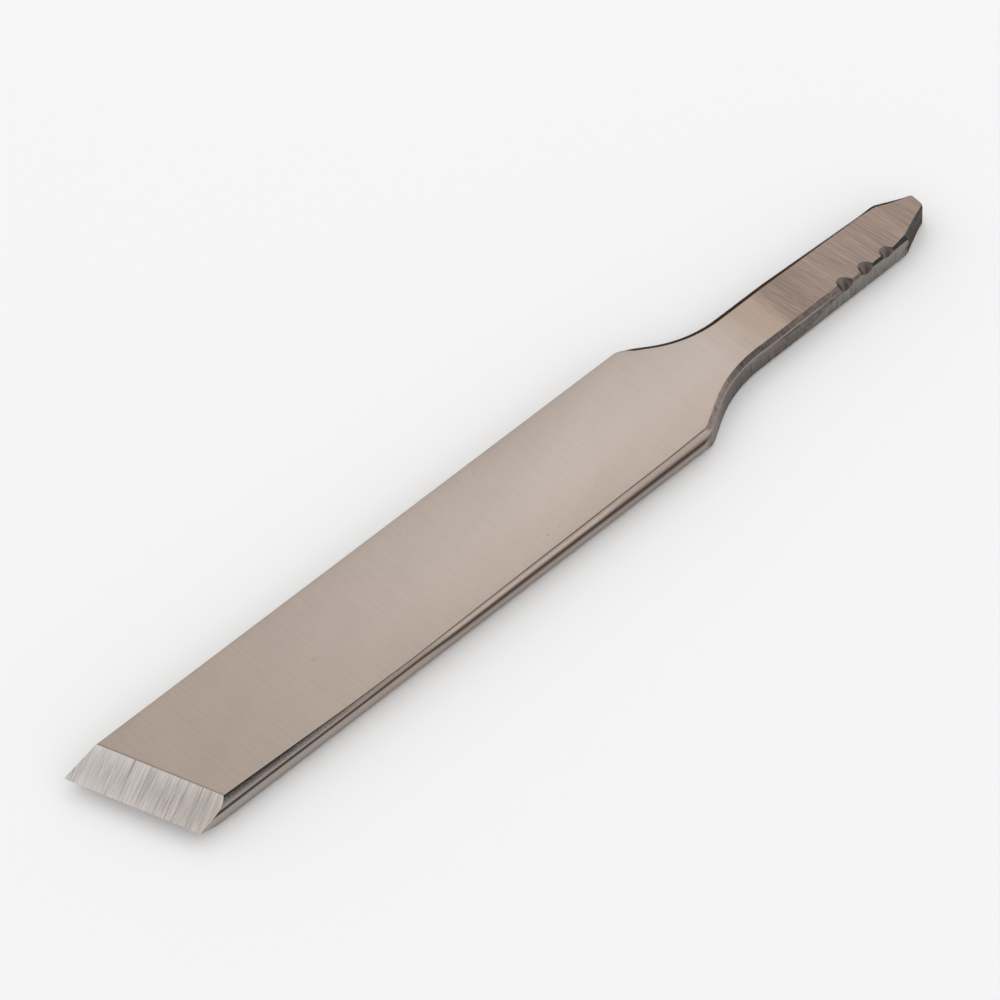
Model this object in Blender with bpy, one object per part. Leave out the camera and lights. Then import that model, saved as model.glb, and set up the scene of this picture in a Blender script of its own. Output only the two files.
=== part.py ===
# Woodturning skew chisel without its handle, ground from one flat bar of high-speed steel.
# It lies on its underside: +X runs from the cutting end to the tang, +Y is the long-point side, +Z is up.
# A station is a length along the chisel from the long point of its cutting edge.

import math

import bmesh
import bpy
import numpy as np
from mathutils import Matrix, Vector

# Bar
overall_length = 0.2543
blade_width = 0.03175
thickness = 0.00794

# Cutting end: a skewed edge at half the thickness, with one bevel above it and one below
skew_run = 0.0127
bevel_run = 0.0098

# Rolled long edge on the short-point side: how far its arrises stand in from the side.
# The lower one runs parallel; the upper one wanders, with these insets at these stations.
roll_inset_below = 0.00205
roll_stations = (0.0227, 0.0590, 0.0770, 0.1143, 0.1580, 0.1710)
roll_insets = (0.00203, 0.00083, 0.00054, 0.00098, 0.00139, 0.00175)
roll_fullness = 4.0

# Shoulders: a rounded corner, a straight run and a hollow sweep that runs out along the tang.
# The sweep takes this share of the step from the blade's side to the tang's.
corner_radius_far = 0.0085
corner_radius_near = 0.0105
sweep_share_far = 0.569
sweep_share_near = 0.536
sweep_radius_far = 0.0305
sweep_radius_near = 0.0340
near_wall_lean = 0.00062  # how far the near wall stands in at its top, beside the corner

# Tang, a little narrower towards its end. Its lengths are counted back from its end.
tang_length_far = 0.0602
tang_length_near = 0.0590
tang_narrowing_length = 0.0455
tang_half_far = 0.00748
tang_half_near = 0.00710
tang_tip_half_far = 0.00612
tang_tip_half_near = 0.00660

# Bevelled arrises of the shoulders and tang, the same height all round. The upper near one starts
# narrower at its corner, and narrows again between these two lengths back from the tang's end.
arris_height = 0.00106
arris_width = 0.00130
arris_width_corner = 0.00105
arris_width_nicked = 0.00035
corner_arris_length = 0.0100
full_arris_length = 0.0330
narrow_arris_length = 0.0280

# Pointed end of the tang: a slope is the narrowing for each unit of length
far_taper_length = 0.0097
near_taper_length = 0.0104
far_taper_slope = 0.480
near_taper_slope = 0.480
taper_arris_length = 0.0148
taper_arris_width = 0.00095
taper_arris_end_width = 0.00020
end_face_lean = 0.00085
end_corner_radius = 0.00110
taper_corner_radius = 0.0040

# Three nicks filed across the upper near arris of the tang. The file leans along the tang by
# nick_lean and slopes down by nick_slope for each unit that it runs outwards.
nick_radius = 0.00215
nick_first_length = 0.0308
nick_spacing = 0.00685
nick_depths = (0.00172, 0.00157, 0.00138)
nick_lean = 0.24
nick_slope = 0.80

# Fineness of the curves
sweep_segments = 20
corner_segments = 6
wall_segments = 6
roll_segments = 16
roll_cuts = 24
nick_segments = 32
sharp_angle = math.radians(20.0)

# How far blanks and cutters reach past what they cut
overlap = 0.004

half_width = blade_width / 2.0
middle = thickness / 2.0
sweep_end_far = overall_length - tang_length_far
sweep_end_near = overall_length - tang_length_near
narrowing_start = overall_length - tang_narrowing_length
far_taper_start = overall_length - far_taper_length
near_taper_start = overall_length - near_taper_length
skew_angle = math.atan2(skew_run, blade_width)


def clear_scene():
    for thing in list(bpy.data.objects):
        bpy.data.objects.remove(thing, do_unlink=True)


def blend(value, start, end):
    """Runs from 0 at start to 1 at end, and stays there outside them."""
    return min(max((value - start) / (end - start), 0.0), 1.0)


def arc(centre, radius, start, end, segments):
    """Points along an arc from the angle start to the angle end."""
    points = []
    for step in range(segments + 1):
        angle = start + (end - start) * step / segments
        points.append(Vector((centre[0] + radius * math.cos(angle), centre[1] + radius * math.sin(angle))))
    return points


def fillet(before, corner, after, radius):
    """Points of the arc that rounds a corner between two straight runs."""
    back = (before - corner).normalized()
    ahead = (after - corner).normalized()
    half = back.angle(ahead) / 2.0
    reach = radius / math.tan(half)
    centre = corner + (back + ahead).normalized() * radius / math.sin(half)
    start = corner + back * reach - centre
    turn = start.angle_signed(corner + ahead * reach - centre)
    points = []
    for step in range(corner_segments + 1):
        points.append(centre + Matrix.Rotation(-turn * step / corner_segments, 2) @ start)
    return points


def shoulder(corner_radius, sweep_share, sweep_radius, sweep_end, tang_half):
    """One shoulder on the +Y side: the arc of its corner, and the hollow sweep from there to the tang."""
    run_angle = math.acos(1.0 - sweep_share * (half_width - tang_half) / sweep_radius)
    sweep_centre = Vector((sweep_end, tang_half + sweep_radius))
    sweep = arc(sweep_centre, sweep_radius, -math.pi / 2.0 - run_angle, -math.pi / 2.0, sweep_segments)
    run = (half_width - sweep[0].y) / math.tan(run_angle)
    corner_point = Vector((sweep[0].x - run, half_width))
    corner = fillet(Vector((0.0, half_width)), corner_point, sweep[0], corner_radius)
    return corner, sweep


def near_tang_half(station):
    """Distance of the tang's near side from the middle line."""
    share = blend(station, sweep_end_near, near_taper_start)
    return tang_half_near + (tang_tip_half_near - tang_half_near) * share


def near_side():
    """The outline's -Y side up to its taper: points with the widths of their arrises and their lean."""
    corner, sweep = shoulder(
        corner_radius_near, sweep_share_near, sweep_radius_near, sweep_end_near, tang_half_near
    )
    corner_start = corner[0].x
    corner_end = corner[-1].x
    outline = [(Vector((-overlap, -half_width)), 0.0, 0.0, 0.0)]
    outline.append((Vector((corner_start - overlap, -half_width)), 0.0, 0.0, 0.0))
    for point in corner + sweep:
        rise = blend(point.x, corner_start, corner_end)
        fall = blend(point.x, corner_end, corner_end + corner_arris_length)
        upper = arris_width_corner + (arris_width - arris_width_corner) * fall
        lean = near_wall_lean * rise * blend(point.x, narrowing_start, corner_end) ** 2
        outline.append((Vector((point.x, -point.y)), upper, arris_width, lean))
    for station, upper in (
        (narrowing_start, arris_width),
        (overall_length - full_arris_length, arris_width),
        (overall_length - narrow_arris_length, arris_width_nicked),
        (overall_length - taper_arris_length, arris_width_nicked),
    ):
        outline.append((Vector((station, -near_tang_half(station))), upper, arris_width, 0.0))
    return outline


def tang_end(height):
    """The outline's pointed end at one height, from the near taper round to the far one."""
    tip = overall_length - end_face_lean * height / thickness
    near_start = Vector((near_taper_start, -tang_tip_half_near))
    near_end = near_start + (tip - near_taper_start) * Vector((1.0, near_taper_slope))
    far_start = Vector((far_taper_start, tang_tip_half_far))
    far_end = far_start + (tip - far_taper_start) * Vector((1.0, -far_taper_slope))
    far_parallel_end = Vector((narrowing_start, tang_half_far))

    outline = []
    near_corner = fillet(near_start, near_end, far_end, end_corner_radius)
    for step in range(wall_segments):
        share = step / wall_segments
        upper = taper_arris_width + (taper_arris_end_width - taper_arris_width) * share**2
        outline.append((near_start.lerp(near_corner[0], share), upper, arris_width * (1.0 - share), 0.0))
    far_corner = fillet(near_end, far_end, far_start, end_corner_radius)
    outline += [(point, taper_arris_end_width, 0.0, 0.0) for point in near_corner + far_corner]
    taper_corner = fillet(far_end, far_start, far_parallel_end, taper_corner_radius)
    outline += [(point, arris_width / 2.0, arris_width / 2.0, 0.0) for point in taper_corner]
    outline.append((far_parallel_end, arris_width, arris_width, 0.0))
    return outline


def far_side():
    """The outline's +Y side, from the tang back along the shoulder and the square long edge."""
    corner, sweep = shoulder(
        corner_radius_far, sweep_share_far, sweep_radius_far, sweep_end_far, tang_half_far
    )
    outline = [(point, arris_width, arris_width, 0.0) for point in reversed(sweep)]
    for step, point in reversed(list(enumerate(corner))):
        width = arris_width * step / corner_segments
        outline.append((point, width, width, 0.0))
    outline.append((Vector((-overlap, half_width)), 0.0, 0.0, 0.0))
    return outline


def ring_at(height):
    """The outline at one height: each point moved in by its share of arris and lean."""
    upper_share = blend(height, thickness - arris_height, thickness)
    lower_share = blend(height, arris_height, 0.0)
    lean_share = blend(height, arris_height, thickness - arris_height)
    outline = near_side() + tang_end(height) + far_side()
    count = len(outline)
    ring = []
    for index, (point, upper, lower, lean) in enumerate(outline):
        before = (point - outline[index - 1][0]).normalized()
        after = (outline[(index + 1) % count][0] - point).normalized()
        inward = Vector((-before.y - after.y, before.x + after.x)).normalized()
        stretch = 1.0 / inward.dot(Vector((-before.y, before.x)))
        inset = upper * upper_share + lower * lower_share + lean * lean_share
        ring.append(point + inward * inset * stretch)
    return ring


def blank():
    """The bar with its shoulders, tang and bevelled arrises, as rings of the outline from the bottom up."""
    shape = bmesh.new()
    rings = []
    for height in (0.0, arris_height, middle, thickness - arris_height, thickness):
        rings.append([shape.verts.new((point.x, point.y, height)) for point in ring_at(height)])
    skin(shape, rings)
    return shape


def skin(shape, rings):
    """Joins rings of the same count one to the next, and closes the first and the last."""
    count = len(rings[0])
    for before, after in zip(rings, rings[1:]):
        for index in range(count):
            beside = (index + 1) % count
            shape.faces.new((before[index], before[beside], after[beside], after[index]))
    shape.faces.new(rings[-1])
    shape.faces.new(list(reversed(rings[0])))
    bmesh.ops.recalc_face_normals(shape, faces=shape.faces)


def roll_cutter():
    """The bar that rounds the near long edge: its inner side bulges away from the blade at half height."""
    start = -2.0 * overlap
    end = sweep_end_near - overlap
    outreach = 1.1
    shape = bmesh.new()
    rings = []
    for step in range(roll_cuts + 1):
        station = start + (end - start) * step / roll_cuts
        inset_above = float(np.interp(station, roll_stations, roll_insets))
        ring = []
        for level in range(roll_segments + 1):
            reach = outreach * (2.0 * level / roll_segments - 1.0)
            inset = inset_above if reach > 0.0 else roll_inset_below
            side = -half_width + inset * abs(reach) ** roll_fullness
            ring.append(shape.verts.new((station, side, middle + middle * reach)))
        for reach in (outreach, -outreach):
            ring.append(shape.verts.new((station, -half_width - overlap, middle + middle * reach)))
        rings.append(ring)
    skin(shape, rings)
    return shape


def bevel_cutter():
    """The block that grinds both bevels: its mouth is a V whose corner is the cutting edge."""
    uphill = Vector((math.cos(skew_angle), math.sin(skew_angle), 0.0))
    along_edge = Vector((math.sin(skew_angle), -math.cos(skew_angle), 0.0))
    lip_height = middle + overlap
    lip_reach = bevel_run * math.cos(skew_angle) * lip_height / middle
    back = -2.0 * (skew_run + overlap)
    upper_lip = (lip_reach, lip_height)
    lower_lip = (lip_reach, -lip_height)
    profile = ((0.0, 0.0), upper_lip, (back, lip_height), (back, -lip_height), lower_lip)
    edge_middle = Vector((skew_run / 2.0, 0.0, middle))

    shape = bmesh.new()
    rings = []
    for side in (-blade_width, blade_width):
        ring = []
        for reach, height in profile:
            corner = edge_middle + along_edge * side + uphill * reach
            ring.append(shape.verts.new((corner.x, corner.y, corner.z + height)))
        rings.append(ring)
    skin(shape, rings)
    return shape


def nick_cutter(number):
    """The round file that cuts one nick: a cylinder lying across the upper near arris of the tang."""
    station = overall_length - nick_first_length + nick_spacing * number
    across = Vector((nick_lean, -1.0, -nick_slope)).normalized()
    outward = Vector((0.0, -nick_slope, 1.0)).normalized()
    arris = Vector((station, -near_tang_half(station), thickness))
    frame = across.to_track_quat("Z", "Y").to_matrix().to_4x4()
    frame.translation = arris + outward * (nick_radius - nick_depths[number])
    shape = bmesh.new()
    bmesh.ops.create_cone(
        shape,
        cap_ends=True,
        segments=nick_segments,
        radius1=nick_radius,
        radius2=nick_radius,
        depth=2.0 * thickness,
        matrix=frame,
    )
    return shape


def make_object(name, shape):
    """Puts a bmesh into the scene, with the origin under the middle of the chisel."""
    bmesh.ops.translate(shape, verts=shape.verts, vec=(-overall_length / 2.0, 0.0, 0.0))
    mesh = bpy.data.meshes.new(name)
    shape.to_mesh(mesh)
    shape.free()
    thing = bpy.data.objects.new(name, mesh)
    bpy.context.scene.collection.objects.link(thing)
    return thing


def cut(body, cutter):
    """Takes the cutter out of the body and leaves it in the scene as a wire guide."""
    cutter.hide_render = True
    cutter.display_type = "WIRE"
    difference = body.modifiers.new(cutter.name, "BOOLEAN")
    difference.operation = "DIFFERENCE"
    difference.solver = "EXACT"
    difference.object = cutter


def ground_steel():
    material = bpy.data.materials.new("ground_steel")
    material.use_nodes = True
    shader = material.node_tree.nodes["Principled BSDF"]
    shader.inputs["Base Color"].default_value = (0.42, 0.38, 0.345, 1.0)
    shader.inputs["Metallic"].default_value = 1.0
    shader.inputs["Roughness"].default_value = 0.38
    return material


def main():
    clear_scene()
    chisel = make_object("skew_chisel", blank())
    chisel.data.materials.append(ground_steel())
    chisel.data.shade_smooth()
    chisel.data.set_sharp_from_angle(angle=sharp_angle)
    cut(chisel, make_object("roll_cutter", roll_cutter()))
    cut(chisel, make_object("bevel_cutter", bevel_cutter()))
    for number in range(len(nick_depths)):
        cut(chisel, make_object(f"nick_cutter_{number + 1}", nick_cutter(number)))


main()
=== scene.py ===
# Woodturning skew chisel without its handle, ground from one flat bar of high-speed steel.
# It lies on its underside: +X runs from the cutting end to the tang, +Y is the long-point side.
# Lengths are in metres. A station is a length along the chisel from its long point.

import math

import bmesh
import bpy
import numpy as np
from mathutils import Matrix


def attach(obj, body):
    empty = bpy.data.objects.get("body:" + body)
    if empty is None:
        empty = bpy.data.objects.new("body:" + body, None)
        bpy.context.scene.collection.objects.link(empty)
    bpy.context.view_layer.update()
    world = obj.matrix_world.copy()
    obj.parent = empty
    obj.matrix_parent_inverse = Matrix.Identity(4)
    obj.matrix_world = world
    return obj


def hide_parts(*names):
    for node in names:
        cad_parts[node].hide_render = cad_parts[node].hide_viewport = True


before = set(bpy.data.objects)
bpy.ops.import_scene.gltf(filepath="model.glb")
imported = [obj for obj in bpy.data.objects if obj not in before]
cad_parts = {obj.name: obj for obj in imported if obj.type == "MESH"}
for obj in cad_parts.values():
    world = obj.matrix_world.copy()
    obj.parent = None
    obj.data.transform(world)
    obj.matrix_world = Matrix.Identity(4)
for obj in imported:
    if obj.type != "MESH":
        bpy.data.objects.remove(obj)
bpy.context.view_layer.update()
print("frame loaded:", ", ".join(sorted(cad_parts)))

bar = {
    "length": 0.2543,
    "width": 0.03175,
    "thickness": 0.00794,
    "skewRun": 0.0127,  # how far the short point stands behind the long one
    "bevelRun": 0.0098,  # length of each bevel along the bar
    "wornArris": 0.00012,  # how far an arris is worn back along its two faces
    "wornShare": 0.3,  # and the largest share of the height, where the bevel gets thin
    "sharpAngle": math.radians(24.0),  # faces that meet more steeply keep a crisp line
}

# The rolled long edge: how far its arrises stand in from the side
roll = {
    "insetBelow": 0.00205,
    "stations": (0.0227, 0.0590, 0.0770, 0.1143, 0.1580, 0.1710),
    "insetsAbove": (0.00203, 0.00083, 0.00054, 0.00098, 0.00139, 0.00175),
    "fullness": 4.0,
    "end": 0.1913,
    "finishReaches": (0.0, 0.17, 0.34, 0.72, 1.0),  # heights where its finish stops at a station
    "finishStations": (0.1694, 0.1701, 0.1715, 0.1720, 0.1697),
}

# The two sides, each a path along +X: shoulder corner, sloping run, hollow sweep, tang, taper
farSide = {
    "cornerRadius": 0.0085,
    "sweepShare": 0.569,  # of the step from the blade's side to the tang's
    "sweepRadius": 0.0305,
    "sweepEnd": 0.1941,
    "tangHalf": 0.00748,
    "narrowingStart": 0.2088,
    "taperStart": 0.2446,
    "tipHalf": 0.00612,
    "taperSlope": 0.480,
    "taperRadius": 0.0040,
}
nearSide = {
    "cornerRadius": 0.0105,
    "sweepShare": 0.536,
    "sweepRadius": 0.0340,
    "sweepEnd": 0.1953,
    "tangHalf": 0.00710,
    "narrowingStart": 0.1963,
    "taperStart": 0.2439,
    "tipHalf": 0.00660,
    "taperSlope": 0.480,
    "taperRadius": 0.0016,
}
tip = {
    "lean": 0.00085,  # how much further the end reaches at the bottom than at the top
    "cornerRadius": 0.0011,
}

# Bevelled arrises of the shoulders and tang. The upper near one changes its width at stations.
arris = {
    "height": 0.00106,
    "width": 0.00130,
    "startWidth": 0.00138,
    "cornerWidth": 0.00105,
    "cornerLength": 0.0100,
    "leadIn": 0.0040,
    "fullUntil": 0.2213,
    "nickedFrom": 0.2263,
    "nickedWidth": 0.00035,
    "nickedUntil": 0.2395,
    "taperWidth": 0.00095,
    "endWidth": 0.00020,
    "farNarrowing": 0.5,  # how much of its width the far one loses along the tang
    "farEndFrom": (0.2405, 0.2450),  # where the far upper one swells again
    "farEndWidth": 0.00095,
    "farEndFullness": 2.0,
    "waver": 0.00005,  # how unsteadily it was ground
    "wallLean": 0.00062,
    "leanEnd": 0.2088,
}

# Three nicks filed across the upper near arris of the tang
nicks = {
    "radius": 0.00215,
    "firstStation": 0.2235,
    "spacing": 0.00685,
    "depths": (0.00172, 0.00157, 0.00138),
    "lean": 0.24,  # along the tang, for each unit outwards
    "slope": 0.80,  # downwards, for each unit outwards
    "segments": 160,
    "lengthSteps": 24,
}

# How many steps each stretch is cut into
steps = {
    "bevel": 40,
    "blade": 200,
    "corner": 56,
    "run": 10,
    "sweep": 64,
    "neck": 14,
    "tang": 80,
    "taperBend": 10,
    "taper": 26,
    "endBend": 10,
    "endFace": 8,
    "arrisLevels": 8,
    "wallLevels": 26,
    "across": 18,
    "wornArris": 4,
}

halfWidth = bar["width"] / 2.0
middle = bar["thickness"] / 2.0
foldReach = 1.0 - arris["height"] / middle  # share of the way up where a wall meets its arris
tiny = 1e-9
mergeReach = 2e-7  # points closer than this become one


def ramp(value, start, end):
    # share of the way from start to end, held at 0 and 1 outside them
    return np.clip((value - start) / (end - start), 0.0, 1.0)


def straight(start, end, count):
    # equal steps from start to end, without start itself: (levels, count, 2)
    share = np.linspace(0.0, 1.0, count + 1)[1:, None]
    return start[:, None] + share * (end - start)[:, None]


def bend(start, heading, turn, radius, count):
    # an arc that leaves start along its heading and turns left by turn radians: the point is
    # start + radius * (sine of the angle ahead, one minus its cosine to the side)
    angle = np.linspace(0.0, abs(turn), count + 1)[1:, None]
    ahead = np.array((math.cos(heading), math.sin(heading)))
    aside = np.array((-ahead[1], ahead[0])) * math.copysign(1.0, turn)
    return start[:, None] + radius * (np.sin(angle) * ahead + (1.0 - np.cos(angle)) * aside)


def sidePath(side, edgeStation, tips, endMiddle):
    # One side's outline, mirrored to +Y, at every height: straight stretches joined by arcs.
    # The run's angle is the one whose versine, times the sweep's radius, is the sweep's share.
    share = side["sweepShare"] * (halfWidth - side["tangHalf"])
    runAngle = math.acos(1.0 - share / side["sweepRadius"])
    sweepX = side["sweepEnd"] - side["sweepRadius"] * math.sin(runAngle)
    sweepY = side["tangHalf"] + share
    cornerX = sweepX - (halfWidth - sweepY) / math.tan(runAngle)
    cornerReach = side["cornerRadius"] * math.tan(runAngle / 2.0)

    taperAngle = math.atan(side["taperSlope"])
    narrowing = math.atan(
        (side["tangHalf"] - side["tipHalf"]) / (side["taperStart"] - side["narrowingStart"])
    )
    taperReach = side["taperRadius"] * math.tan((taperAngle - narrowing) / 2.0)
    endTurn = math.pi / 2.0 - taperAngle
    endReach = tip["cornerRadius"] * math.tan(endTurn / 2.0)
    endY = side["tipHalf"] - side["taperSlope"] * (tips - side["taperStart"])

    def spot(x, y):
        return np.stack(np.broadcast_arrays(x, y, tips), 1)[:, :2]

    path = [spot(edgeStation, halfWidth)[:, None]]
    for stretch in (
        (steps["bevel"], spot(edgeStation + bar["bevelRun"], halfWidth)),
        (steps["blade"], spot(cornerX - cornerReach, halfWidth)),
        (steps["corner"], 0.0, -runAngle, side["cornerRadius"]),
        (steps["run"], spot(sweepX, sweepY)),
        (steps["sweep"], -runAngle, runAngle, side["sweepRadius"]),
        (steps["neck"], spot(side["narrowingStart"], side["tangHalf"])),
        (steps["tang"], spot(
            side["taperStart"] - taperReach * math.cos(narrowing),
            side["tipHalf"] + taperReach * math.sin(narrowing),
        )),
        (steps["taperBend"], -narrowing, narrowing - taperAngle, side["taperRadius"]),
        (steps["taper"], spot(
            tips - endReach * math.cos(taperAngle),
            endY + endReach * math.sin(taperAngle),
        )),
        (steps["endBend"], -taperAngle, -endTurn, tip["cornerRadius"]),
        (steps["endFace"], spot(tips, endMiddle)),
    ):
        here = path[-1][:, -1]
        if len(stretch) == 2:
            path.append(straight(here, stretch[1], stretch[0]))
        else:
            path.append(bend(here, *stretch[1:], stretch[0]))
    stops = np.cumsum([part.shape[1] for part in path]) - 1
    return np.concatenate(path, 1), stops


def movedIn(path, inset):
    # each point moved square to the path towards the middle line, and by the mitre at a turn
    leg = np.diff(path, axis=1)
    leg = leg / np.linalg.norm(leg, axis=2, keepdims=True)
    before = np.concatenate((leg[:, :1], leg), 1)
    after = np.concatenate((leg, leg[:, -1:]), 1)
    inward = np.stack((before[..., 1] + after[..., 1], -before[..., 0] - after[..., 0]), 2)
    inward = inward / np.linalg.norm(inward, axis=2, keepdims=True)
    mitre = inward[..., 0] * before[..., 1] - inward[..., 1] * before[..., 0]
    return path + inward * (inset / mitre)[..., None]


def worn(before, corner, after, reach):
    # a worn arris: the parabola that touches both faces at reach from the sharp corner
    share = np.linspace(0.0, 1.0, steps["wornArris"] + 1)[:, None, None]
    back = before - corner
    ahead = after - corner
    back = back / np.maximum(np.linalg.norm(back, axis=1, keepdims=True), tiny)
    ahead = ahead / np.maximum(np.linalg.norm(ahead, axis=1, keepdims=True), tiny)
    return corner + reach[:, None] * ((1.0 - share) ** 2 * back + share**2 * ahead)


def waver(x):
    # three sines of unlike lengths, which never come back into step
    return (np.sin(x / 0.0011) + np.sin(x / 0.00047 + 1.0) + np.sin(x / 0.0029 + 2.0)) / 3.0


def rolledSide(x, reach):
    # the rolled side stands in by an inset times the height from the middle to a high power
    above = np.interp(x, roll["stations"], roll["insetsAbove"])
    inset = np.where(reach > 0.0, above, roll["insetBelow"])
    return inset * np.abs(reach) ** roll["fullness"] - halfWidth


def chiselGrid():
    # The chisel is one grid: sections along it, and a ring of points round each section.
    # At the cutting end the sections are parallel to the edge, and they grow in height from
    # nothing at the edge to the full thickness at the face line.
    fold = foldReach
    levels = np.concatenate((
        np.linspace(-1.0, -fold, steps["arrisLevels"] + 1)[:-1],
        np.linspace(-fold, fold, steps["wallLevels"] + 1)[:-1],
        np.linspace(fold, 1.0, steps["arrisLevels"] + 1),
    ))
    upShare = ramp(levels, fold, 1.0)[:, None]
    downShare = ramp(levels, -fold, -1.0)[:, None]
    leanShare = ramp(levels, -fold, fold)[:, None]

    tips = bar["length"] - tip["lean"] * (1.0 + levels) / 2.0
    farEndY = farSide["tipHalf"] - farSide["taperSlope"] * (tips - farSide["taperStart"])
    nearEndY = nearSide["tipHalf"] - nearSide["taperSlope"] * (tips - nearSide["taperStart"])
    endMiddle = (farEndY - nearEndY) / 2.0
    far, stops = sidePath(farSide, 0.0, tips, endMiddle)
    near, stops = sidePath(nearSide, bar["skewRun"], tips, -endMiddle)
    cuttingEdge, faceLine, cornerStart, cornerEnd = stops[:4]
    taperStart, endCorner = stops[7], stops[9]
    section = np.arange(far.shape[1])
    height = middle * ramp(section, cuttingEdge, faceLine)
    taper = ramp(section, taperStart, endCorner)

    nearX = near[0, :, 0]
    startX = nearX[cornerStart]
    endX = nearX[cornerEnd]
    widths = (
        (startX - arris["leadIn"], 0.0),
        (startX, arris["startWidth"]),
        (endX, arris["cornerWidth"]),
        (endX + arris["cornerLength"], arris["width"]),
        (arris["fullUntil"], arris["width"]),
        (arris["nickedFrom"], arris["nickedWidth"]),
        (arris["nickedUntil"], arris["nickedWidth"]),
        (nearX[taperStart], arris["taperWidth"]),
    )
    upper = np.interp(nearX, *zip(*widths))
    upper = upper + arris["waver"] * waver(nearX) * ramp(nearX, endX, arris["leanEnd"])
    tapered = arris["taperWidth"] + (arris["endWidth"] - arris["taperWidth"]) * taper**2
    upper = np.where(section > taperStart, tapered, upper)
    lower = arris["width"] * ramp(nearX, startX - arris["leadIn"], startX) * (1.0 - taper)
    lean = arris["wallLean"] * ramp(nearX, startX, endX) * ramp(nearX, arris["leanEnd"], endX) ** 2
    near = movedIn(near, upper * upShare + lower * downShare + lean * leanShare)
    near[..., 1] *= -1.0

    farX = far[0, :, 0]
    width = arris["width"] * ramp(section, cornerStart, cornerEnd)
    narrowed = ramp(farX, farSide["narrowingStart"], farSide["taperStart"])
    width = width * (1.0 - arris["farNarrowing"] * narrowed)
    swell = ramp(farX, *arris["farEndFrom"])
    upper = width + (arris["farEndWidth"] - width) * swell
    upper = upper + (arris["endWidth"] - upper) * taper**3
    fullness = 1.0 + arris["farEndFullness"] * swell
    far = movedIn(far, upper * upShare**fullness + width * (1.0 - taper) * downShare)

    # the roll takes what stands outside it; its points slide along their own skewed sections
    reach = levels[:, None] * height / middle
    side = np.where(near[..., 0] < roll["end"], rolledSide(near[..., 0], reach), -bar["width"])
    side = np.maximum(near[..., 1], side)
    skew = np.where(section <= cornerEnd, (farX - nearX) / bar["width"], 0.0)
    near[..., 0] += (side - near[..., 1]) * skew
    near[..., 1] = side

    z = middle + height * levels[:, None]
    near = np.concatenate((near, z[..., None]), 2)
    far = np.concatenate((far, z[..., None]), 2)[::-1]

    # the ring runs up the near side, across the face, down the far side and back underneath
    across = np.linspace(0.0, 1.0, steps["across"] + 1)[1:-1, None, None]
    face = near[-1] + across * (far[0] - near[-1])
    under = far[-1] + across * (near[0] - far[-1])
    wear = np.minimum(bar["wornArris"], bar["wornShare"] * height)
    foldWear = wear * ramp(section, cornerStart, cornerEnd)

    def wall(side):
        low = steps["arrisLevels"]
        high = low + steps["wallLevels"]
        return [
            side[1:low],
            worn(side[low - 1], side[low], side[low + 1], foldWear),
            side[low + 1:high],
            worn(side[high - 1], side[high], side[high + 1], foldWear),
            side[high + 1:-1],
        ]

    parts = [worn(under[-1], near[0], near[1], wear), *wall(near)]
    parts += [worn(near[-2], near[-1], face[0], wear), face]
    parts += [worn(face[-1], far[0], far[1], wear), *wall(far)]
    parts += [worn(far[-2], far[-1], under[0], wear), under]
    ring = np.concatenate(parts)
    ring[..., 0] -= bar["length"] / 2.0
    rows = np.cumsum([0] + [len(part) for part in parts])
    return ring, rows, stops


def gridMesh(name, points, finish):
    # quads between neighbouring points of a grid whose first direction closes on itself
    rows, columns = points.shape[:2]
    row = np.arange(rows)[:, None]
    column = np.arange(columns - 1)[None, :]
    beside = (row + 1) % rows
    quads = np.stack((
        row * columns + column,
        row * columns + column + 1,
        beside * columns + column + 1,
        beside * columns + column,
    ), 2)
    mesh = bpy.data.meshes.new(name)
    mesh.vertices.add(rows * columns)
    mesh.vertices.foreach_set("co", points.ravel().astype(np.float32))
    mesh.loops.add(quads.size)
    mesh.loops.foreach_set("vertex_index", quads.ravel().astype(np.int32))
    mesh.polygons.add(quads.size // 4)
    mesh.polygons.foreach_set("loop_start", np.arange(0, quads.size, 4, dtype=np.int32))
    mesh.polygons.foreach_set("material_index", finish.ravel().astype(np.int32))
    mesh.update(calc_edges=True)

    # the points that meet at the edge and at the ends become one, and every face looks outwards
    shape = bmesh.new()
    shape.from_mesh(mesh)
    bmesh.ops.remove_doubles(shape, verts=shape.verts, dist=mergeReach)
    bmesh.ops.dissolve_degenerate(shape, edges=shape.edges, dist=mergeReach)
    bmesh.ops.recalc_face_normals(shape, faces=shape.faces)
    openEdges = sum(not edge.is_manifold for edge in shape.edges)
    shape.to_mesh(mesh)
    shape.free()
    print(name, "has", len(mesh.vertices), "points and", openEdges, "open edges")
    thing = bpy.data.objects.new(name, mesh)
    bpy.context.scene.collection.objects.link(thing)
    return thing


finishes = (
    "groundFace",
    "groundBevel",
    "rolledEdge",
    "squareEdge",
    "bevelledArris",
    "tangWall",
    "scaledTaper",
    "filedNick",
)
finishNumber = {name: number for number, name in enumerate(finishes)}


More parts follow.
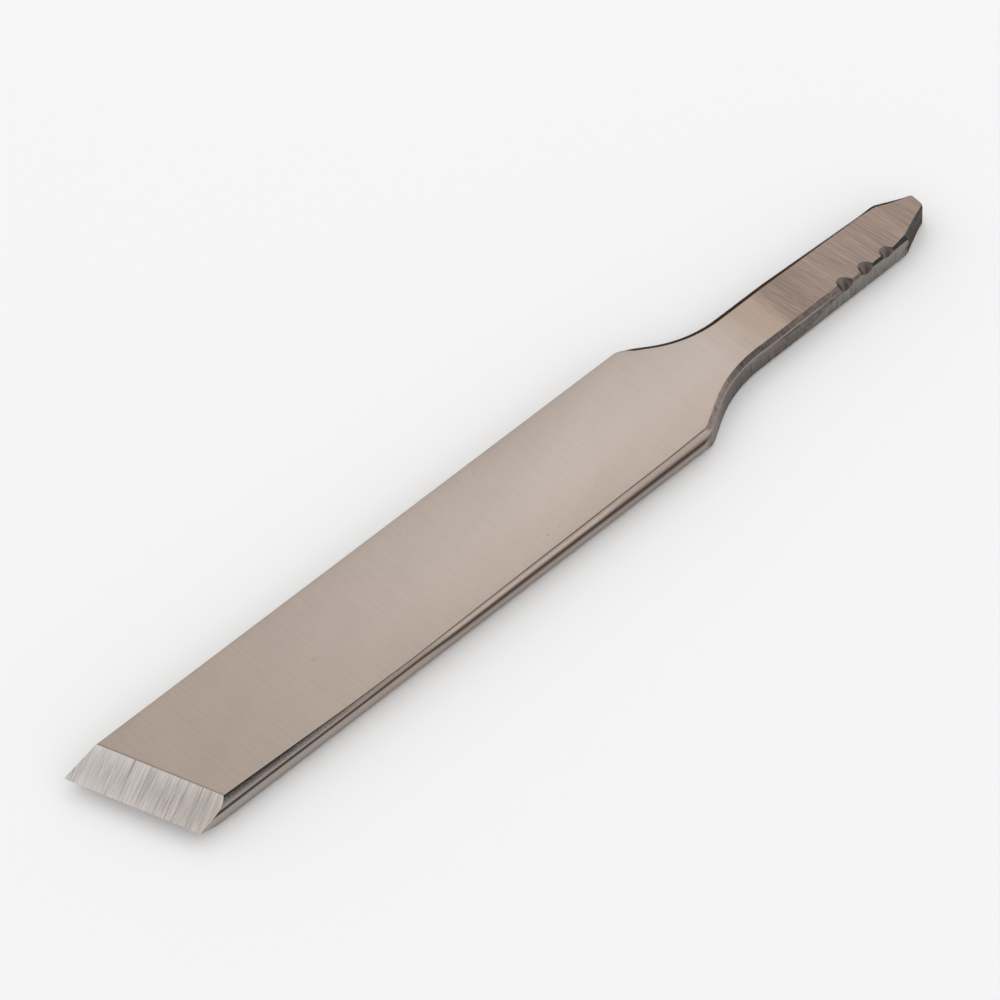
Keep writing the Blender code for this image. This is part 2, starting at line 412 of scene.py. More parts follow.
def finishOf(ring, rows, stops):
    # which finish each quad has, from the place of its middle
    beside = np.roll(ring, -1, axis=0)
    centre = (ring[:, :-1] + ring[:, 1:] + beside[:, :-1] + beside[:, 1:]) / 4.0
    station = centre[..., 0] + bar["length"] / 2.0
    reach = centre[..., 2] / middle - 1.0
    section = np.arange(ring.shape[1] - 1)[None, :]
    row = np.arange(ring.shape[0])[:, None]
    # the ring's rows where the face begins and ends, and where the underside begins
    faceFrom, faceUntil, underFrom = rows[7] - 1, rows[8], rows[15] - 1
    faceLine, cornerStart, taperBend = stops[1], stops[2], stops[7]
    flat = (row >= faceFrom) & (row < faceUntil) | (row >= underFrom)
    nearby = row < faceFrom
    onRoll = nearby & (station < np.interp(reach, roll["finishReaches"], roll["finishStations"]))
    onBlade = section < cornerStart
    onTaper = section >= taperBend + steps["taperBend"] // 2
    folded = np.abs(reach) > foldReach
    finish = np.where(folded, finishNumber["bevelledArris"], finishNumber["tangWall"])
    finish = np.where(onTaper, finishNumber["scaledTaper"], finish)
    finish = np.where(onBlade & ~nearby, finishNumber["squareEdge"], finish)
    finish = np.where(onRoll | onBlade & nearby, finishNumber["rolledEdge"], finish)
    finish = np.where(flat, finishNumber["groundFace"], finish)
    return np.where(flat & (section < faceLine), finishNumber["groundBevel"], finish)


def nickFile(number):
    # the round file that cuts one nick: a circle carried along a leaning, sloping line
    station = nicks["firstStation"] + nicks["spacing"] * number
    share = ramp(station, nearSide["sweepEnd"], nearSide["taperStart"])
    half = nearSide["tangHalf"] + (nearSide["tipHalf"] - nearSide["tangHalf"]) * share
    line = np.array((nicks["lean"], -1.0, -nicks["slope"]))
    line = line / np.linalg.norm(line)
    outward = np.array((0.0, -nicks["slope"], 1.0))
    outward = outward / np.linalg.norm(outward)
    sideways = np.cross(line, outward)
    sideways = sideways / np.linalg.norm(sideways)
    centre = np.array((station - bar["length"] / 2.0, -half, bar["thickness"]))
    centre = centre + outward * (nicks["radius"] - nicks["depths"][number])
    angle = np.linspace(0.0, 2.0 * math.pi, nicks["segments"], endpoint=False)[:, None, None]
    along = np.linspace(-bar["thickness"], bar["thickness"], nicks["lengthSteps"] + 1)
    along = np.concatenate((along[:1], along, along[-1:]))[:, None]
    radius = np.full((nicks["lengthSteps"] + 3, 1), nicks["radius"])
    radius[[0, -1]] = 0.0
    circle = np.cos(angle) * sideways + np.sin(angle) * np.cross(sideways, line)
    points = centre + along * line + radius * circle
    finish = np.full((points.shape[0], points.shape[1] - 1), finishNumber["filedNick"])
    return gridMesh(f"nickFile{number + 1}", points, finish)


class Wire:
    # one output of a node: an operator on it adds the Math node that works the sum out
    def __init__(self, socket):
        self.socket = socket

    def sum(self, operation, first, second=0.0):
        tree = self.socket.id_data
        node = tree.nodes.new("ShaderNodeMath")
        node.operation = operation
        feed(node.inputs[0], first)
        feed(node.inputs[1], second)
        return Wire(node.outputs[0])

    def __add__(self, other):
        return self.sum("ADD", self, other)

    def __radd__(self, other):
        return self.sum("ADD", other, self)

    def __sub__(self, other):
        return self.sum("SUBTRACT", self, other)

    def __rsub__(self, other):
        return self.sum("SUBTRACT", other, self)

    def __mul__(self, other):
        return self.sum("MULTIPLY", self, other)

    def __rmul__(self, other):
        return self.sum("MULTIPLY", other, self)

    def __truediv__(self, other):
        return self.sum("DIVIDE", self, other)

    def __mod__(self, other):
        return self.sum("MODULO", self, other)

    def __abs__(self):
        return self.sum("ABSOLUTE", self)


def feed(socket, value):
    # links a wire to a socket, or sets the socket's own value
    if isinstance(value, Wire):
        socket.id_data.links.new(value.socket, socket)
    elif hasattr(socket.default_value, "__len__") and len(socket.default_value) == 4:
        socket.default_value = (*value[:3], 1.0)
    else:
        socket.default_value = value


spotEase = (1.4, 0.4)  # where a spot fades out and where it is full, in its radius


class Recipe:
    # a material, and the nodes that make its finish
    def __init__(self, name, **constants):
        self.material = bpy.data.materials.new(name)
        self.material.use_nodes = True
        self.tree = self.material.node_tree
        self.shader = self.tree.nodes["Principled BSDF"]
        for socket, value in constants.items():
            self.shader.inputs[socket].default_value = value
        self.place = self.add("ShaderNodeTexCoord", output="Object")
        vector = {"Vector": self.place}
        split = [self.add("ShaderNodeSeparateXYZ", inputs=vector, output=axis) for axis in "XYZ"]
        self.station = split[0] + bar["length"] / 2.0
        self.side = split[1]
        self.reach = split[2] / middle - 1.0

    def pastEdge(self):
        # length along the bar from the skewed cutting edge
        return self.station + self.side * (bar["skewRun"] / bar["width"]) - bar["skewRun"] / 2.0

    def add(self, kind, settings=None, inputs=None, output=0):
        # any node: its settings are made first, then its sockets get values or links
        node = self.tree.nodes.new(kind)
        for name, value in (settings or {}).items():
            setattr(node, name, value)
        for name, value in (inputs or {}).items():
            feed(node.inputs[name], value)
        return Wire(node.outputs[output])

    def smooth(self, value, start, end):
        # 0 before start and 1 after end, with an eased rise between them
        return self.add(
            "ShaderNodeMapRange",
            {"interpolation_type": "SMOOTHSTEP"},
            {"Value": value, "From Min": start, "From Max": end},
        )

    def grain(self, angle, size, detail=4.0, seed=0.0, roughness=0.55):
        # noise in a frame turned by angle degrees, measured there in units of size: it runs
        # from -0.5 to 0.5
        turned = self.add("ShaderNodeMapping", {"vector_type": "TEXTURE"}, {
            "Vector": self.place,
            "Location": (seed, seed, 0.0),
            "Rotation": (0.0, 0.0, math.radians(angle)),
            "Scale": size,
        })
        return self.add("ShaderNodeTexNoise", inputs={
            "Vector": turned,
            "Scale": 1.0,
            "Detail": detail,
            "Roughness": roughness,
        }) - 0.5

    def spot(self, centre, radius):
        # 1 at a place on the surface, easing to 0 around it
        away = self.add(
            "ShaderNodeVectorMath", {"operation": "DISTANCE"}, {0: self.place, 1: centre}, "Value"
        )
        return self.smooth(away, spotEase[0] * radius, spotEase[1] * radius)

    def mix(self, factor, first, second):
        # a Mix node takes its two colours at sockets 6 and 7 and gives the result at 2
        return self.add(
            "ShaderNodeMix",
            {"data_type": "RGBA"},
            {0: factor, 6: first, 7: second},
            2,
        )

    def toned(self, colour, tone):
        # a colour made brighter or darker by a number
        return self.add("ShaderNodeVectorMath", {"operation": "SCALE"}, {0: colour, "Scale": tone})

    def finish(self, colour, roughness, height, depth):
        # the last links: colour, roughness and the marks' relief, depth metres high
        feed(self.shader.inputs["Base Color"], colour)
        feed(self.shader.inputs["Roughness"], roughness)
        bump = self.add("ShaderNodeBump", inputs={"Height": height, "Distance": depth})
        feed(self.shader.inputs["Normal"], bump)
        return self.material


# Tones are what each finish shows under plain white light. A pair is where something starts
# and where it is full. A grain is its angle from the bar in degrees, its size along three
# axes, how many finer layers it has, its seed and the strength of those layers.
faceLook = {
    "blade": (0.424, 0.363, 0.324),
    "nearBlade": (0.430, 0.355, 0.306),  # towards the rolled edge
    "nearBladeAcross": (0.000, -0.012),
    "bevelEnd": (0.372, 0.305, 0.263),  # painted shade: the blade's first stretch, a little darker
    "bevelEndShadeAlong": (0.136, 0.020),
    "highlightSpread": 0.11,  # painted highlight: how much darker the blade is at this reach from its middle than along it
    "spreadReach": 0.014,
    "spreadMiddle": -0.002,
    "heated": (0.360, 0.282, 0.230),  # where the shoulders meet the tang
    "heatedFrom": (0.1860, 0.2010),
    "tang": (0.292, 0.225, 0.188),
    "tangFrom": (0.2037, 0.2081),
    "faceLine": 0.22,  # how dark the burnt edge beside the bevel is
    "faceLineAlong": (0.00052, 0.00016),
    "bladeGrain": 0.36,
    "tangGrain": 1.10,
    "tangStart": 0.12,  # how much darker the tang begins
    "tangStartAlong": (0.2240, 0.2100),
    "hairFrom": (0.13, 0.20),  # single hair lines, bright and dark
    "brightHair": 0.20,
    "darkHair": 0.12,
    "bladeCloud": 0.15,
    "bladeMottle": 0.10,
    "pits": (
        (-0.0040, -0.0112, 0.00025, 0.32),
        (-0.0008, -0.0114, 0.00022, 0.26),
        (-0.0662, -0.0002, 0.00070, 0.10),
    ),  # x, y, radius and how dark each one is
    "roughness": 0.36,
    "depth": 0.000004,
    "fine": (4.0, (0.00023, 0.012, 0.00023), 5.0, 1.3, 0.62),
    "coarse": (11.0, (0.00042, 0.012, 0.00042), 5.0, 4.1, 0.68),
    "hair": (10.0, (0.00034, 0.009, 0.00034), 1.0, 9.1),
    "broad": (9.0, (0.0035, 0.024, 0.0035), 3.0, 7.7),
    "cloud": (-70.0, (0.014, 0.045, 0.014), 3.0, 2.6),
    "mottle": (0.0, (0.0007, 0.0011, 0.0011), 4.0, 5.2, 0.7),
}


def groundFace():
    look = faceLook
    steel = Recipe("groundFace", Metallic=1.0)
    fine = steel.grain(*look["fine"])
    coarse = steel.grain(*look["coarse"])
    hair = steel.grain(*look["hair"])
    broad = steel.grain(*look["broad"])
    cloud = steel.grain(*look["cloud"])
    mottle = steel.grain(*look["mottle"])
    offMiddle = abs(steel.side - look["spreadMiddle"]) / look["spreadReach"]
    bevelEnd = steel.smooth(steel.station, *look["bevelEndShadeAlong"])
    heated = steel.smooth(steel.station + broad * 0.012 + coarse * 0.004, *look["heatedFrom"])
    tang = steel.smooth(steel.station + coarse * 0.0130 + broad * 0.0080, *look["tangFrom"])
    burnt = steel.smooth(steel.pastEdge() - bar["bevelRun"], *look["faceLineAlong"])

    bladeTone = 1.0 + fine * look["bladeGrain"]
    bladeTone = bladeTone + cloud * look["bladeCloud"] + mottle * look["bladeMottle"]
    # painted highlight: the blade darkens away from its middle line, fading out towards the bevel
    bladeTone = bladeTone - offMiddle * offMiddle * look["highlightSpread"] * (1.0 - bevelEnd)
    bladeTone = bladeTone - burnt * look["faceLine"]
    for x, y, radius, dark in look["pits"]:
        bladeTone = bladeTone - dark * steel.spot((x, y, bar["thickness"]), radius)
    tangTone = 1.0 + coarse * look["tangGrain"] + broad * 0.45 + fine * 0.45
    tangTone = tangTone + steel.smooth(hair, *look["hairFrom"]) * look["brightHair"]
    tangTone = tangTone - steel.smooth(0.0 - hair, *look["hairFrom"]) * look["darkHair"]
    start = steel.smooth(steel.station, *look["tangStartAlong"])
    tangTone = tangTone - start * look["tangStart"]
    nearBlade = steel.smooth(steel.side, *look["nearBladeAcross"])
    colour = steel.mix(nearBlade, look["blade"], look["nearBlade"])
    # painted shade: the face darker towards its bevel end
    colour = steel.mix(bevelEnd, colour, look["bevelEnd"])
    colour = steel.mix(heated, colour, look["heated"])
    colour = steel.mix(tang, steel.toned(colour, bladeTone), steel.toned(look["tang"], tangTone))
    height = fine * (1.0 - tang) + (coarse * 2.0 + fine) * tang
    roughness = look["roughness"] + fine * 0.12 + tang * 0.06
    return steel.finish(colour, roughness, height, look["depth"])


bevelLook = {
    "colour": (0.634, 0.588, 0.562),
    "nearEnd": (0.574, 0.517, 0.484),
    "nearEndAcross": (0.012, -0.014),  # from the long point to the short one
    "hollow": 0.14,  # how much darker its middle is than its two edges
    "markTone": 0.80,
    "wideTone": 0.28,
    "fineTone": 0.85,
    "brightTone": 0.10,
    "deepTone": 0.34,
    "brightFrom": (0.13, 0.18),  # of the scratches
    "deepFrom": (-0.14, -0.19),
    "roughness": 0.40,
    "depth": 0.000010,
    "marks": (22.5, (0.0105, 0.00030, 0.0105), 4.0, 3.2, 0.66),
    "wide": (24.5, (0.020, 0.0014, 0.020), 3.0, 8.4),
    "fine": (18.5, (0.0042, 0.00017, 0.0042), 3.0, 5.9, 0.6),
    "scratch": (20.5, (0.0130, 0.00034, 0.0130), 1.0, 6.6),
}


def groundBevel():
    look = bevelLook
    steel = Recipe("groundBevel", Metallic=1.0)
    marks = steel.grain(*look["marks"])
    wide = steel.grain(*look["wide"])
    fine = steel.grain(*look["fine"])
    scratch = steel.grain(*look["scratch"])
    offMiddle = steel.pastEdge() / (bar["bevelRun"] / 2.0) - 1.0
    bright = steel.smooth(scratch, *look["brightFrom"])
    deep = steel.smooth(scratch, *look["deepFrom"])
    tone = 1.0 + marks * look["markTone"] + wide * look["wideTone"] + fine * look["fineTone"]
    tone = tone + bright * look["brightTone"] - deep * look["deepTone"]
    tone = tone * (1.0 - look["hollow"] * (1.0 - offMiddle * offMiddle))
    nearEnd = steel.smooth(steel.side, *look["nearEndAcross"])
    colour = steel.toned(steel.mix(nearEnd, look["colour"], look["nearEnd"]), tone)
    height = marks + fine * 0.6 + bright * 0.2 - deep * 0.3
    return steel.finish(colour, look["roughness"] + marks * 0.30, height, look["depth"])


# The rolled edge's bands are painted reflections: lighter up to the middle, a dark line above it, a
# brighter band above that, then painted shade near the face
rollLook = {
    "bevelEnd": (1.13, 1.0, 0.92),  # tints, beside the tones that follow
    "long": (1.22, 1.0, 0.87),
    "longAlong": (0.030, 0.078),
    "line": (1.29, 1.0, 0.83),
    "below": 0.262,
    "middle": 0.362,
    "middleUp": (-0.32, 0.0),
    "reflectedLineTone": 0.032,
    "lineAt": 0.555,  # where the painted dark reflection line runs, as a share of the way up from the middle to the face
    "lineDrop": 0.090,  # how much lower it runs along the second grinding
    "lateDrop": 0.030,  # and how much more near the shoulder
    "lineEase": 0.015,  # how softly it ends above and below
    "lineFoot": 0.33,  # where its lower side starts, and how much lower on the second grinding
    "secondFoot": 0.21,
    "lineTop": 0.71,  # where its upper side ends, and how much higher it does further along
    "drawnTop": 0.10,
    "secondTop": 0.10,
    "lateTop": 0.05,
    "drawnFrom": (0.048, 0.080),
    "secondFrom": (0.0780, 0.0920),
    "lateFrom": (0.1330, 0.1470),
    "upper": 0.305,
    "secondUpper": 0.460,
    "lateUpper": 0.365,
    "unfinishedFrom": (0.082, 0.034),  # towards the bevel its upper part is left rough and dark
    "dusky": 0.78,  # how dark that is
    "duskyFrom": 0.655,
    "secondDusky": 0.10,
    "duskyFull": 0.97,
    "shadedArrisLine": 0.66,  # how dark the painted shade line beside the face is
    "arrisLineUp": (0.945, 0.990),
    "shade": 0.32,  # the dimmer band below that line, along the second grinding
    "shadeUp": (0.80, 0.98),
    "roughness": 0.30,
    "depth": 0.000004,
    "slow": (0.0, (0.010, 0.010, 0.0014), 3.0, 6.1),
    "lengthwise": (0.0, (0.006, 0.0006, 0.00013), 4.0, 2.2),
    "speckle": (0.0, (0.00045, 0.00030, 0.00030), 3.0, 9.3, 0.62),
}


def rolledEdge():
    look = rollLook
    steel = Recipe("rolledEdge", Metallic=1.0)
    slow = steel.grain(*look["slow"])
    lengthwise = steel.grain(*look["lengthwise"])
    speckle = steel.grain(*look["speckle"])
    second = steel.smooth(steel.station, *look["secondFrom"])
    late = steel.smooth(steel.station, *look["lateFrom"])
    drawnOut = steel.smooth(steel.station, *look["drawnFrom"])
    # the painted dark reflection line: where it runs and how far it spreads up and down
    level = steel.reach + second * look["lineDrop"] + late * look["lateDrop"] + slow * 0.055
    foot = look["lineFoot"] - second * look["secondFoot"]
    top = look["lineTop"] + drawnOut * look["drawnTop"]
    top = top + second * look["secondTop"] + late * look["lateTop"]
    into = steel.smooth(level, foot, look["lineAt"] - look["lineEase"])
    beyond = steel.smooth(level, look["lineAt"] + look["lineEase"], top)

    # painted reflections: lighter up to the middle, brighter again above the dark line
    rising = steel.smooth(steel.reach, *look["middleUp"])
    lower = look["below"] + rising * (look["middle"] - look["below"])
    lower = lower * (1.0 - second * 0.06 - late * 0.06)
    upper = look["upper"] + second * (look["secondUpper"] - look["upper"])
    upper = upper + late * (look["lateUpper"] - look["secondUpper"])
    tone = lower + into * (look["reflectedLineTone"] - lower) + beyond * (upper - look["reflectedLineTone"])
    unfinished = steel.smooth(steel.station + slow * 0.010, *look["unfinishedFrom"])
    duskyFoot = look["duskyFrom"] + second * look["secondDusky"]
    dusky = steel.smooth(steel.reach, duskyFoot, look["duskyFull"]) * unfinished
    # painted shade: a dimmer band below the line beside the face, and that dark line itself
    shade = steel.smooth(steel.reach, *look["shadeUp"]) * (second - late)
    shadedArrisLine = steel.smooth(steel.reach + slow * 0.01, *look["arrisLineUp"])
    tone = tone * (1.0 - dusky * look["dusky"]) * (1.0 - shadedArrisLine * look["shadedArrisLine"])
    tone = tone * (1.0 - shade * look["shade"])
    tone = tone * (1.0 + lengthwise * 0.34 + speckle * (0.26 + beyond * 0.34 + dusky * 2.2))
    long = steel.smooth(steel.station, *look["longAlong"])
    colour = steel.mix(long, look["bevelEnd"], look["long"])
    colour = steel.mix(into * (1.0 - beyond), colour, look["line"])
    height = lengthwise + speckle * (0.3 + beyond)
    return steel.finish(
        steel.toned(colour, tone),
        look["roughness"] + beyond * 0.08 + lengthwise * 0.10,
        height,
        look["depth"],
    )


squareLook = {
    "colour": (0.350, 0.296, 0.258),
    "roughness": 0.32,
    "depth": 0.000004,
    "lengthwise": (0.0, (0.012, 0.0003, 0.0002), 5.0, 3.6),
    "cloud": (0.0, (0.030, 0.004, 0.004), 3.0, 1.9),
}


def squareEdge():
    look = squareLook
    steel = Recipe("squareEdge", Metallic=1.0)
    lengthwise = steel.grain(*look["lengthwise"])
    cloud = steel.grain(*look["cloud"])
    tone = 1.0 + lengthwise * 0.55 + cloud * 0.22
    return steel.finish(
        steel.toned(look["colour"], tone),
        look["roughness"] + lengthwise * 0.12,
        lengthwise,
        look["depth"],
    )


arrisLook = {
    "corner": (0.272, 0.218, 0.188),
    "neck": (0.118, 0.098, 0.089),
    "neckFrom": (0.1795, 0.1905),
    "tang": (0.172, 0.137, 0.118),
    "tangFrom": (0.1985, 0.2120),
    "scaled": (0.052, 0.048, 0.050),  # from the second nick to the end
    "scaledFrom": (0.2300, 0.2306),
    "farNeck": (0.047, 0.038, 0.033),
    "farTang": (0.110, 0.092, 0.080),
    "farTangFrom": (0.2200, 0.2320),
    "farEnd": (0.036, 0.032, 0.031),
    "farEndFrom": (0.2395, 0.2415),
    "foot": (0.330, 0.298, 0.274),  # a painted highlight: the bright line where the near one meets its wall
    "footHighlightUp": (0.060, 0.030),  # above the fold
    "footHighlightStrength": 0.90,
    "footFades": ((0.2120, 0.2200, 0.60), (0.226, 0.230, 0.30)),  # from, to and how much goes
    "nearFrom": (0.001, -0.001),  # across the middle line
    "grazing": (0.55, 0.47, 0.43),  # how much of a grazing reflection it lets through
    "roughness": 0.44,
    "depth": 0.000012,
    "marks": (4.0, (0.00034, 0.004, 0.004), 4.0, 5.5, 0.65),
    "patches": (0.0, (0.0022, 0.0022, 0.0010), 4.0, 1.1, 0.6),
}


def bevelledArris():
    look = arrisLook
    steel = Recipe("bevelledArris", Metallic=1.0)
    steel.shader.inputs["Specular Tint"].default_value = (*look["grazing"], 1.0)
    marks = steel.grain(*look["marks"])
    patches = steel.grain(*look["patches"])
    station = steel.station + patches * 0.004
    near = steel.smooth(steel.side, *look["nearFrom"])
    tone = 1.0 + marks * 1.6 + patches * 1.4
    nearby = steel.mix(steel.smooth(station, *look["neckFrom"]), look["corner"], look["neck"])
    nearby = steel.mix(steel.smooth(station, *look["tangFrom"]), nearby, look["tang"])
    scaled = steel.smooth(steel.station, *look["scaledFrom"])
    nearby = steel.mix(scaled, nearby, look["scaled"])
    farTang = steel.smooth(station, *look["farTangFrom"])
    faraway = steel.mix(farTang, look["farNeck"], look["farTang"])
    farEnd = steel.smooth(steel.station, *look["farEndFrom"])
    faraway = steel.mix(farEnd, faraway, look["farEnd"])
    colour = steel.toned(steel.mix(near, faraway, nearby), tone)
    # painted highlight along the worn fold where the near arris meets its wall, over its faint real
    # one
    footTop, footFull = look["footHighlightUp"]
    height = abs(steel.reach) + patches * 0.02
    foot = steel.smooth(height, foldReach + footTop, foldReach + footFull)
    strength = look["footHighlightStrength"]
    for start, end, loss in look["footFades"]:
        strength = strength - steel.smooth(station, start, end) * loss
    colour = steel.mix(foot * near * strength, colour, look["foot"])
    roughness = look["roughness"] + patches * 0.15
    return steel.finish(colour, roughness, marks + patches, look["depth"])


wallLook = {
    "start": (0.300, 0.250, 0.216),  # where it runs out of the rolled edge
    "shoulder": (0.196, 0.166, 0.146),
    "shoulderFrom": (0.1692, 0.1712),
    "throat": (0.126, 0.105, 0.092),  # the hollow past the corner
    "throatFrom": (0.1745, 0.1805),
    "forged": (0.172, 0.144, 0.126),
    "forgedFrom": (0.1860, 0.1950),
    "scale": (0.078, 0.064, 0.057),
    "scaleStrength": 0.90,
    "scaleFrom": (0.1990, 0.2040),
    "patchFrom": (-0.02, 0.11),  # of the patches, where they turn to scale
    "filed": (0.236, 0.211, 0.188),
    "filedFrom": (0.2130, 0.2175),
    "filedLean": 0.013,  # how much further along it starts at the top than at the middle
    "pit": (0.1166, -0.0066, 0.0040, 0.0005, 0.85),  # x, y, z, radius and how dark it is
    "roughness": 0.42,
    "depth": 0.000014,
    "marks": (0.0, (0.00034, 0.00034, 0.006), 5.0, 2.9, 0.68),
    "patches": (0.0, (0.0030, 0.0030, 0.0016), 5.0, 7.2, 0.66),
}


def tangWall():
    look = wallLook
    steel = Recipe("tangWall", Metallic=1.0)
    marks = steel.grain(*look["marks"])
    patches = steel.grain(*look["patches"])
    station = steel.station + patches * 0.010
    filed = steel.smooth(station - steel.reach * look["filedLean"], *look["filedFrom"])
    scaled = steel.smooth(patches + marks * 0.45 + steel.reach * 0.07, *look["patchFrom"])
    scaled = scaled * steel.smooth(station, *look["scaleFrom"])
    tone = 1.0 + marks * 2.30 + patches * 0.70 + steel.reach * (0.36 - filed * 0.14)
    tone = tone * (1.0 - look["pit"][4] * steel.spot(look["pit"][:3], look["pit"][3]))
    shoulder = steel.smooth(steel.station, *look["shoulderFrom"])
    colour = steel.mix(shoulder, look["start"], look["shoulder"])
    colour = steel.mix(steel.smooth(station, *look["throatFrom"]), colour, look["throat"])
    colour = steel.mix(steel.smooth(station, *look["forgedFrom"]), colour, look["forged"])
    colour = steel.mix(scaled * look["scaleStrength"], colour, look["scale"])
    colour = steel.mix(filed, colour, look["filed"])
    return steel.finish(
        steel.toned(colour, tone),
        look["roughness"] + patches * 0.20 + scaled * (1.0 - filed) * 0.12,
        marks + patches * 1.5,
        look["depth"],
    )


taperLook = {
    "wall": (0.100, 0.088, 0.085),
    "arris": (0.083, 0.078, 0.079),
    "grazing": (0.55, 0.47, 0.45),  # how much of a grazing reflection the scale lets through
    "chip": (0.1170, -0.0066, 0.0056, 0.0004, 4.0),  # x, y, z, radius and how bright it is
    "far": 0.55,  # how much darker its far side is
    "farAcross": (0.002, 0.004),
    "foldEase": 0.03,  # how softly its wall turns into its arris
    "roughness": 0.46,
    "depth": 0.000020,
    "marks": (0.0, (0.00040, 0.00040, 0.003), 4.0, 6.3, 0.6),
    "patches": (0.0, (0.0016, 0.0016, 0.0012), 4.0, 2.4, 0.6),
}


def scaledTaper():
    look = taperLook
    steel = Recipe("scaledTaper", Metallic=1.0)
    steel.shader.inputs["Specular Tint"].default_value = (*look["grazing"], 1.0)
    marks = steel.grain(*look["marks"])
    patches = steel.grain(*look["patches"])
    chip = look["chip"][4] * steel.spot(look["chip"][:3], look["chip"][3])
    far = steel.smooth(steel.side, *look["farAcross"])
    tone = 1.0 + marks * 2.1 + patches * 1.3 + chip - far * look["far"] + steel.reach * 0.18
    ease = look["foldEase"]
    folded = steel.smooth(abs(steel.reach), foldReach - ease, foldReach + ease)
    colour = steel.toned(steel.mix(folded, look["wall"], look["arris"]), tone)
    roughness = look["roughness"] + patches * 0.25
    return steel.finish(colour, roughness, marks + patches, look["depth"])


# The nick's tones are painted light and shade of its round: a lighter entry side, a dark core that
# deepens downwards, a dimmer exit side
nickLook = {
    "litEntry": (0.172, 0.148, 0.134),
    "shadedCore": (0.066, 0.048, 0.041),
    "shadedExit": (0.112, 0.098, 0.090),
    "coreFrom": (-0.0011, 0.0005),  # along the tang, from the middle of each nick
    "exitFrom": (0.0004, 0.0013),
    "depthShadeFrom": (1.0, 0.62),  # on the way down from the face
    "depthShade": 0.65,  # how much of the core's painted shade comes with depth
    "turn": 0.5,  # how far its tones lean along the tang, for each unit inwards
    "unsteady": 0.0008,  # how far their borders wander
    "roughness": 0.42,
    "depth": 0.000012,
    "marks": (13.5, (0.00026, 0.006, 0.006), 4.0, 4.4, 0.65),
    "fine": (0.0, (0.0005, 0.0005, 0.0005), 3.0, 8.8),
}


def filedNick():
    look = nickLook
    steel = Recipe("filedNick", Metallic=1.0)
    marks = steel.grain(*look["marks"])
    fine = steel.grain(*look["fine"])
    # how far along its own nick a place is, counted from the nick's middle line
    inwards = steel.side + nearSide["tangHalf"] - nicks["depths"][0] / 2.0
    along = steel.station - inwards * look["turn"] - nicks["firstStation"]
    along = (along + nicks["spacing"] / 2.0) % nicks["spacing"] - nicks["spacing"] / 2.0
    along = along + fine * look["unsteady"]
    # painted light and shade across the round: lighter entry, dark core deeper down, dimmer exit
    leaving = steel.smooth(along, *look["exitFrom"])
    depthShade = steel.smooth(steel.reach, *look["depthShadeFrom"]) * look["depthShade"] + (1.0 - look["depthShade"])
    tone = 1.0 + marks * (0.5 + leaving * 1.6) + fine * 1.4
    shadedCore = steel.smooth(along, *look["coreFrom"]) * depthShade
    colour = steel.mix(shadedCore, look["litEntry"], look["shadedCore"])
    colour = steel.mix(leaving, colour, look["shadedExit"])
    return steel.finish(
        steel.toned(colour, tone), look["roughness"] + fine * 0.2, marks + fine, look["depth"]
    )


ring, rows, stops = chiselGrid()
chisel = gridMesh("ground_chisel", ring, finishOf(ring, rows, stops))
makers = (
    groundFace, groundBevel, rolledEdge, squareEdge, bevelledArris, tangWall, scaledTaper, filedNick
)
materials = [make() for make in makers]
for material in materials:
    chisel.data.materials.append(material)
print("finishes made:", ", ".join(material.name for material in materials))

for number in range(len(nicks["depths"])):
    cutter = nickFile(number)
    for material in materials:
        cutter.data.materials.append(material)
    cut = chisel.modifiers.new("nick", "BOOLEAN")
    cut.operation = "DIFFERENCE"
    cut.solver = "EXACT"
    cut.material_mode = "INDEX"
    cut.object = cutter
    bpy.context.view_layer.update()
    evaluated = chisel.evaluated_get(bpy.context.evaluated_depsgraph_get())
    filed = bpy.data.meshes.new_from_object(evaluated)
    chisel.modifiers.clear()
    chisel.data = filed
    bpy.data.objects.remove(cutter, do_unlink=True)
chisel.data.name = "ground_chisel"
chisel.data.shade_smooth()
chisel.data.set_sharp_from_angle(angle=bar["sharpAngle"])
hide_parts("skew_chisel")
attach(chisel, "root")
print("chisel filed:", len(chisel.data.polygons), "faces")

stage = {
    "floorHalf": 8.0,
    "floorColour": (0.96, 0.96, 0.96, 1.0),
    "sky": 0.93,
    "keyPower": 0.24,
    "keySize": 0.30,
    "keyDistance": 0.85,
    "keyAim": (0.040, -0.002, 0.008),
}

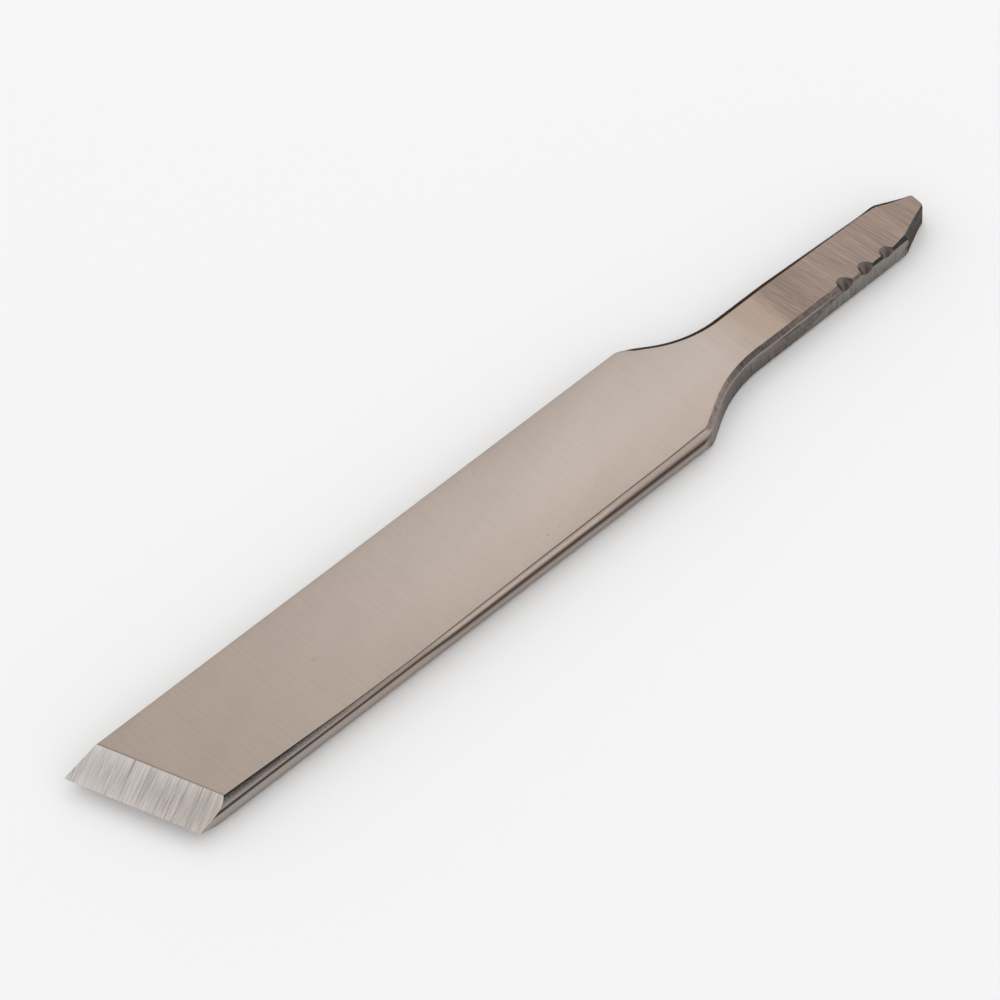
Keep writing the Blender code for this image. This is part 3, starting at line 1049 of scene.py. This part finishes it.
mesh = bpy.data.meshes.new("floor")
half = stage["floorHalf"]
corners = [(-half, -half, 0), (half, -half, 0), (half, half, 0), (-half, half, 0)]
mesh.from_pydata(corners, [], [(0, 1, 2, 3)])
floor = bpy.data.objects.new("floor", mesh)
bpy.context.scene.collection.objects.link(floor)
paper = Recipe("paper", Roughness=0.9)
paper.shader.inputs["Base Color"].default_value = stage["floorColour"]
floor.data.materials.append(paper.material)

world = bpy.data.worlds.new("studio")
world.use_nodes = True
sky = world.node_tree.nodes["Background"]
sky.inputs["Color"].default_value = (1.0, 1.0, 1.0, 1.0)
sky.inputs["Strength"].default_value = stage["sky"]
bpy.context.scene.world = world

view = {
    "azimuth": math.radians(-42.8412),
    "elevation": math.radians(54.9809),
    "distance": 1.607066,
    "aim": (-0.0017312, 0.0074035, 0.0000661),
    "lens": 250.226,
    "sensor": 36.0,
    "clipStart": 0.05,
}


def towards(azimuth, elevation):
    # the unit vector from the object to a camera or lamp at this azimuth and elevation
    return np.array((
        math.sin(azimuth) * math.cos(elevation),
        -math.cos(azimuth) * math.cos(elevation),
        math.sin(elevation),
    ))


camera = bpy.data.objects.new("camera", bpy.data.cameras.new("camera"))
bpy.context.scene.collection.objects.link(camera)
outwards = towards(view["azimuth"], view["elevation"])
camera.location = np.array(view["aim"]) + outwards * view["distance"]
camera.rotation_euler = (math.pi / 2.0 - view["elevation"], 0.0, view["azimuth"])
camera.data.sensor_width = view["sensor"]
camera.data.lens = view["lens"]
camera.data.clip_start = view["clipStart"]
bpy.context.scene.camera = camera

# the key lamp stands where the face mirrors it: across from the camera, at its height
key = bpy.data.objects.new("key", bpy.data.lights.new("key", "AREA"))
bpy.context.scene.collection.objects.link(key)
across = view["azimuth"] + math.pi
outwards = towards(across, view["elevation"])
key.location = np.array(stage["keyAim"]) + outwards * stage["keyDistance"]
key.rotation_euler = (math.pi / 2.0 - view["elevation"], 0.0, across)
key.data.size = stage["keySize"]
key.data.energy = stage["keyPower"]
bpy.context.scene.view_settings.view_transform = "Standard"

print("studio ready: floor, sky, key lamp and camera")
